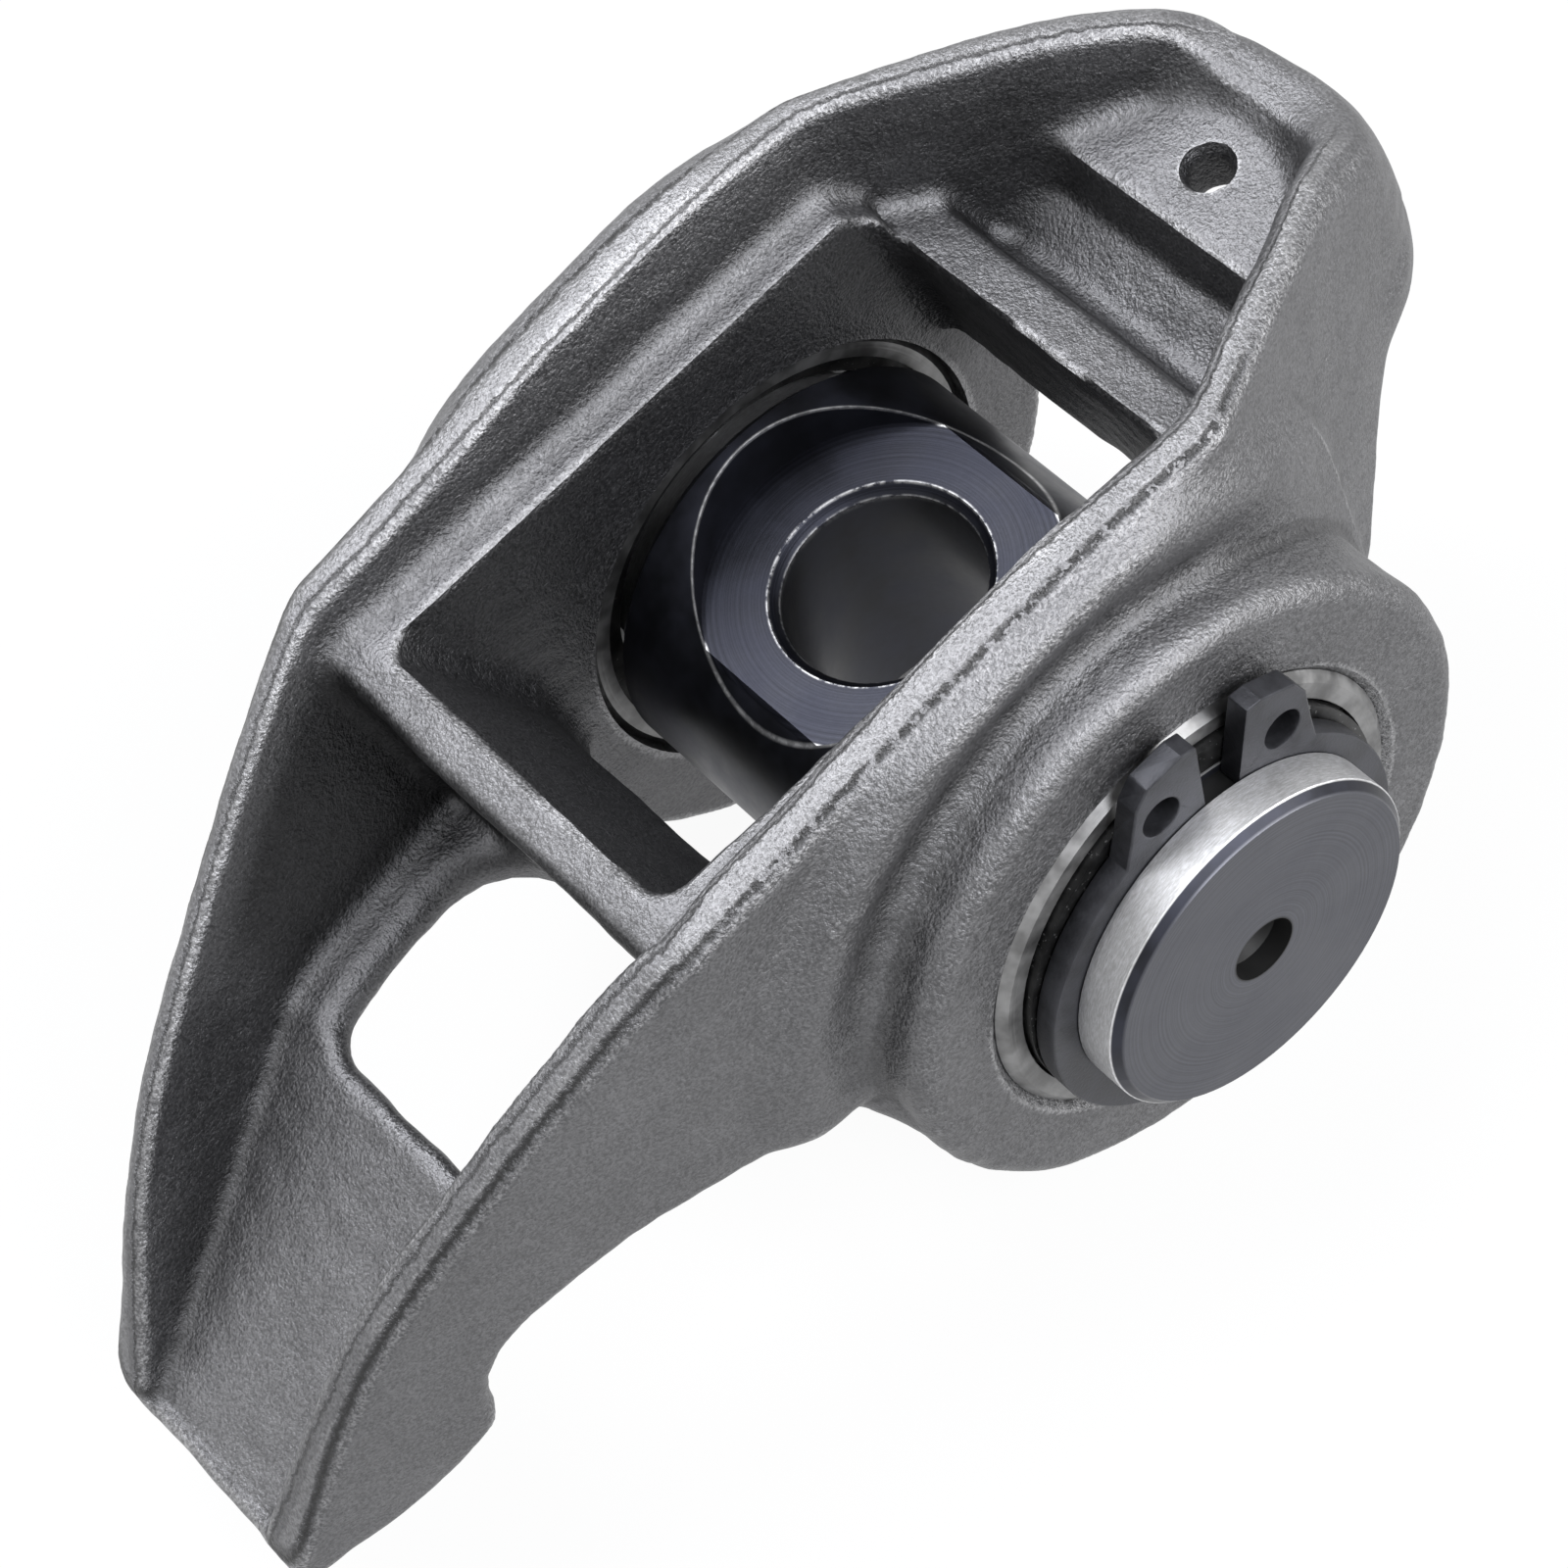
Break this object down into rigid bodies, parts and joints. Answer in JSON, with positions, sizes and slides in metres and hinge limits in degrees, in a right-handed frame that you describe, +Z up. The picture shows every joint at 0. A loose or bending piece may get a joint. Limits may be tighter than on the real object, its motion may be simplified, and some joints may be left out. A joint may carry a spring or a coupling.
{
  "type": "rocker arm",
  "caption": "Open-topped cast rocker arm on a needle-bearing trunnion held by snap rings, with a crowned valve pad and an oiled pushrod seat.",
  "frame": {"origin": "middle of the trunnion, where the pivot axis meets the hold-down bolt's axis", "axes": "+X towards the valve tip, +Y along the pivot to the bearing that the picture shows in front, +Z up the hold-down bolt"},
  "size_m": [0.0671, 0.0382, 0.0308],
  "materials": {
    "casting": "as-cast grey steel, fine grain",
    "trunnion_steel": "turned, black oxide with bright ground journals",
    "bearing_steel": "drawn and hardened, satin",
    "cage_steel": "dark oiled steel",
    "washer_steel": "dark oiled steel",
    "ring_steel": "black phosphated spring steel",
    "needle_steel": "ground and polished"
  },
  "bodies": {
    "trunnion": {"trunnion": "trunnion_steel", "thrust_washer_near": "washer_steel", "thrust_washer_far": "washer_steel", "snap_ring_near": "ring_steel", "snap_ring_far": "ring_steel"},
    "arm": {"arm_casting": "casting", "bearing_cup_near": "bearing_steel", "bearing_cup_far": "bearing_steel"},
    "cage_near": {"needle_cage_near": "cage_steel"},
    "roller_near_01": {"needle_near_01": "needle_steel"},
    "roller_near_02": {"needle_near_02": "needle_steel"},
    "roller_near_03": {"needle_near_03": "needle_steel"},
    "roller_near_04": {"needle_near_04": "needle_steel"},
    "roller_near_05": {"needle_near_05": "needle_steel"},
    "roller_near_06": {"needle_near_06": "needle_steel"},
    "roller_near_07": {"needle_near_07": "needle_steel"},
    "roller_near_08": {"needle_near_08": "needle_steel"},
    "roller_near_09": {"needle_near_09": "needle_steel"},
    "roller_near_10": {"needle_near_10": "needle_steel"},
    "roller_near_11": {"needle_near_11": "needle_steel"},
    "roller_near_12": {"needle_near_12": "needle_steel"},
    "roller_near_13": {"needle_near_13": "needle_steel"},
    "roller_near_14": {"needle_near_14": "needle_steel"},
    "cage_far": {"needle_cage_far": "cage_steel"},
    "roller_far_01": {"needle_far_01": "needle_steel"},
    "roller_far_02": {"needle_far_02": "needle_steel"},
    "roller_far_03": {"needle_far_03": "needle_steel"},
    "roller_far_04": {"needle_far_04": "needle_steel"},
    "roller_far_05": {"needle_far_05": "needle_steel"},
    "roller_far_06": {"needle_far_06": "needle_steel"},
    "roller_far_07": {"needle_far_07": "needle_steel"},
    "roller_far_08": {"needle_far_08": "needle_steel"},
    "roller_far_09": {"needle_far_09": "needle_steel"},
    "roller_far_10": {"needle_far_10": "needle_steel"},
    "roller_far_11": {"needle_far_11": "needle_steel"},
    "roller_far_12": {"needle_far_12": "needle_steel"},
    "roller_far_13": {"needle_far_13": "needle_steel"},
    "roller_far_14": {"needle_far_14": "needle_steel"}
  },
  "joints": [
    {"name": "arm_rock", "type": "hinge", "parent": "trunnion", "child": "arm", "pos_m": [0, 0, 0], "axis": [0, 1, 0], "range_deg": [-14, 14]},
    {"name": "cage_near_turn", "type": "hinge", "parent": "trunnion", "child": "cage_near", "pos_m": [0, 0.0121, 0], "axis": [0, 1, 0], "range_deg": [-8, 8]},
    {"name": "needle_near_01_spin", "type": "hinge", "parent": "cage_near", "child": "roller_near_01", "pos_m": [0.00802, 0.0121, -0.00183], "axis": [0, 1, 0], "range_deg": [-64, 64]},
    {"name": "needle_near_02_spin", "type": "hinge", "parent": "cage_near", "child": "roller_near_02", "pos_m": [0.00643, 0.0121, -0.00513], "axis": [0, 1, 0], "range_deg": [-64, 64]},
    {"name": "needle_near_03_spin", "type": "hinge", "parent": "cage_near", "child": "roller_near_03", "pos_m": [0.00357, 0.0121, -0.00741], "axis": [0, 1, 0], "range_deg": [-64, 64]},
    {"name": "needle_near_04_spin", "type": "hinge", "parent": "cage_near", "child": "roller_near_04", "pos_m": [0, 0.0121, -0.00822], "axis": [0, 1, 0], "range_deg": [-64, 64]},
    {"name": "needle_near_05_spin", "type": "hinge", "parent": "cage_near", "child": "roller_near_05", "pos_m": [-0.00357, 0.0121, -0.00741], "axis": [0, 1, 0], "range_deg": [-64, 64]},
    {"name": "needle_near_06_spin", "type": "hinge", "parent": "cage_near", "child": "roller_near_06", "pos_m": [-0.00643, 0.0121, -0.00513], "axis": [0, 1, 0], "range_deg": [-64, 64]},
    {"name": "needle_near_07_spin", "type": "hinge", "parent": "cage_near", "child": "roller_near_07", "pos_m": [-0.00802, 0.0121, -0.00183], "axis": [0, 1, 0], "range_deg": [-64, 64]},
    {"name": "needle_near_08_spin", "type": "hinge", "parent": "cage_near", "child": "roller_near_08", "pos_m": [-0.00802, 0.0121, 0.00183], "axis": [0, 1, 0], "range_deg": [-64, 64]},
    {"name": "needle_near_09_spin", "type": "hinge", "parent": "cage_near", "child": "roller_near_09", "pos_m": [-0.00643, 0.0121, 0.00513], "axis": [0, 1, 0], "range_deg": [-64, 64]},
    {"name": "needle_near_10_spin", "type": "hinge", "parent": "cage_near", "child": "roller_near_10", "pos_m": [-0.00357, 0.0121, 0.00741], "axis": [0, 1, 0], "range_deg": [-64, 64]},
    {"name": "needle_near_11_spin", "type": "hinge", "parent": "cage_near", "child": "roller_near_11", "pos_m": [0, 0.0121, 0.00822], "axis": [0, 1, 0], "range_deg": [-64, 64]},
    {"name": "needle_near_12_spin", "type": "hinge", "parent": "cage_near", "child": "roller_near_12", "pos_m": [0.00357, 0.0121, 0.00741], "axis": [0, 1, 0], "range_deg": [-64, 64]},
    {"name": "needle_near_13_spin", "type": "hinge", "parent": "cage_near", "child": "roller_near_13", "pos_m": [0.00643, 0.0121, 0.00513], "axis": [0, 1, 0], "range_deg": [-64, 64]},
    {"name": "needle_near_14_spin", "type": "hinge", "parent": "cage_near", "child": "roller_near_14", "pos_m": [0.00802, 0.0121, 0.00183], "axis": [0, 1, 0], "range_deg": [-64, 64]},
    {"name": "cage_far_turn", "type": "hinge", "parent": "trunnion", "child": "cage_far", "pos_m": [0, -0.0121, 0], "axis": [0, 1, 0], "range_deg": [-8, 8]},
    {"name": "needle_far_01_spin", "type": "hinge", "parent": "cage_far", "child": "roller_far_01", "pos_m": [0.00802, -0.0121, -0.00183], "axis": [0, 1, 0], "range_deg": [-64, 64]},
    {"name": "needle_far_02_spin", "type": "hinge", "parent": "cage_far", "child": "roller_far_02", "pos_m": [0.00643, -0.0121, -0.00513], "axis": [0, 1, 0], "range_deg": [-64, 64]},
    {"name": "needle_far_03_spin", "type": "hinge", "parent": "cage_far", "child": "roller_far_03", "pos_m": [0.00357, -0.0121, -0.00741], "axis": [0, 1, 0], "range_deg": [-64, 64]},
    {"name": "needle_far_04_spin", "type": "hinge", "parent": "cage_far", "child": "roller_far_04", "pos_m": [0, -0.0121, -0.00822], "axis": [0, 1, 0], "range_deg": [-64, 64]},
    {"name": "needle_far_05_spin", "type": "hinge", "parent": "cage_far", "child": "roller_far_05", "pos_m": [-0.00357, -0.0121, -0.00741], "axis": [0, 1, 0], "range_deg": [-64, 64]},
    {"name": "needle_far_06_spin", "type": "hinge", "parent": "cage_far", "child": "roller_far_06", "pos_m": [-0.00643, -0.0121, -0.00513], "axis": [0, 1, 0], "range_deg": [-64, 64]},
    {"name": "needle_far_07_spin", "type": "hinge", "parent": "cage_far", "child": "roller_far_07", "pos_m": [-0.00802, -0.0121, -0.00183], "axis": [0, 1, 0], "range_deg": [-64, 64]},
    {"name": "needle_far_08_spin", "type": "hinge", "parent": "cage_far", "child": "roller_far_08", "pos_m": [-0.00802, -0.0121, 0.00183], "axis": [0, 1, 0], "range_deg": [-64, 64]},
    {"name": "needle_far_09_spin", "type": "hinge", "parent": "cage_far", "child": "roller_far_09", "pos_m": [-0.00643, -0.0121, 0.00513], "axis": [0, 1, 0], "range_deg": [-64, 64]},
    {"name": "needle_far_10_spin", "type": "hinge", "parent": "cage_far", "child": "roller_far_10", "pos_m": [-0.00357, -0.0121, 0.00741], "axis": [0, 1, 0], "range_deg": [-64, 64]},
    {"name": "needle_far_11_spin", "type": "hinge", "parent": "cage_far", "child": "roller_far_11", "pos_m": [0, -0.0121, 0.00822], "axis": [0, 1, 0], "range_deg": [-64, 64]},
    {"name": "needle_far_12_spin", "type": "hinge", "parent": "cage_far", "child": "roller_far_12", "pos_m": [0.00357, -0.0121, 0.00741], "axis": [0, 1, 0], "range_deg": [-64, 64]},
    {"name": "needle_far_13_spin", "type": "hinge", "parent": "cage_far", "child": "roller_far_13", "pos_m": [0.00643, -0.0121, 0.00513], "axis": [0, 1, 0], "range_deg": [-64, 64]},
    {"name": "needle_far_14_spin", "type": "hinge", "parent": "cage_far", "child": "roller_far_14", "pos_m": [0.00802, -0.0121, 0.00183], "axis": [0, 1, 0], "range_deg": [-64, 64]}
  ],
  "couplings": [
    {"joint": "cage_near_turn", "follows": "arm_rock", "ratio": 0.5547},
    {"joint": "needle_near_01_spin", "follows": "arm_rock", "ratio": 4.5147},
    {"joint": "needle_near_02_spin", "follows": "arm_rock", "ratio": 4.5147},
    {"joint": "needle_near_03_spin", "follows": "arm_rock", "ratio": 4.5147},
    {"joint": "needle_near_04_spin", "follows": "arm_rock", "ratio": 4.5147},
    {"joint": "needle_near_05_spin", "follows": "arm_rock", "ratio": 4.5147},
    {"joint": "needle_near_06_spin", "follows": "arm_rock", "ratio": 4.5147},
    {"joint": "needle_near_07_spin", "follows": "arm_rock", "ratio": 4.5147},
    {"joint": "needle_near_08_spin", "follows": "arm_rock", "ratio": 4.5147},
    {"joint": "needle_near_09_spin", "follows": "arm_rock", "ratio": 4.5147},
    {"joint": "needle_near_10_spin", "follows": "arm_rock", "ratio": 4.5147},
    {"joint": "needle_near_11_spin", "follows": "arm_rock", "ratio": 4.5147},
    {"joint": "needle_near_12_spin", "follows": "arm_rock", "ratio": 4.5147},
    {"joint": "needle_near_13_spin", "follows": "arm_rock", "ratio": 4.5147},
    {"joint": "needle_near_14_spin", "follows": "arm_rock", "ratio": 4.5147},
    {"joint": "cage_far_turn", "follows": "arm_rock", "ratio": 0.5547},
    {"joint": "needle_far_01_spin", "follows": "arm_rock", "ratio": 4.5147},
    {"joint": "needle_far_02_spin", "follows": "arm_rock", "ratio": 4.5147},
    {"joint": "needle_far_03_spin", "follows": "arm_rock", "ratio": 4.5147},
    {"joint": "needle_far_04_spin", "follows": "arm_rock", "ratio": 4.5147},
    {"joint": "needle_far_05_spin", "follows": "arm_rock", "ratio": 4.5147},
    {"joint": "needle_far_06_spin", "follows": "arm_rock", "ratio": 4.5147},
    {"joint": "needle_far_07_spin", "follows": "arm_rock", "ratio": 4.5147},
    {"joint": "needle_far_08_spin", "follows": "arm_rock", "ratio": 4.5147},
    {"joint": "needle_far_09_spin", "follows": "arm_rock", "ratio": 4.5147},
    {"joint": "needle_far_10_spin", "follows": "arm_rock", "ratio": 4.5147},
    {"joint": "needle_far_11_spin", "follows": "arm_rock", "ratio": 4.5147},
    {"joint": "needle_far_12_spin", "follows": "arm_rock", "ratio": 4.5147},
    {"joint": "needle_far_13_spin", "follows": "arm_rock", "ratio": 4.5147},
    {"joint": "needle_far_14_spin", "follows": "arm_rock", "ratio": 4.5147}
  ]
}
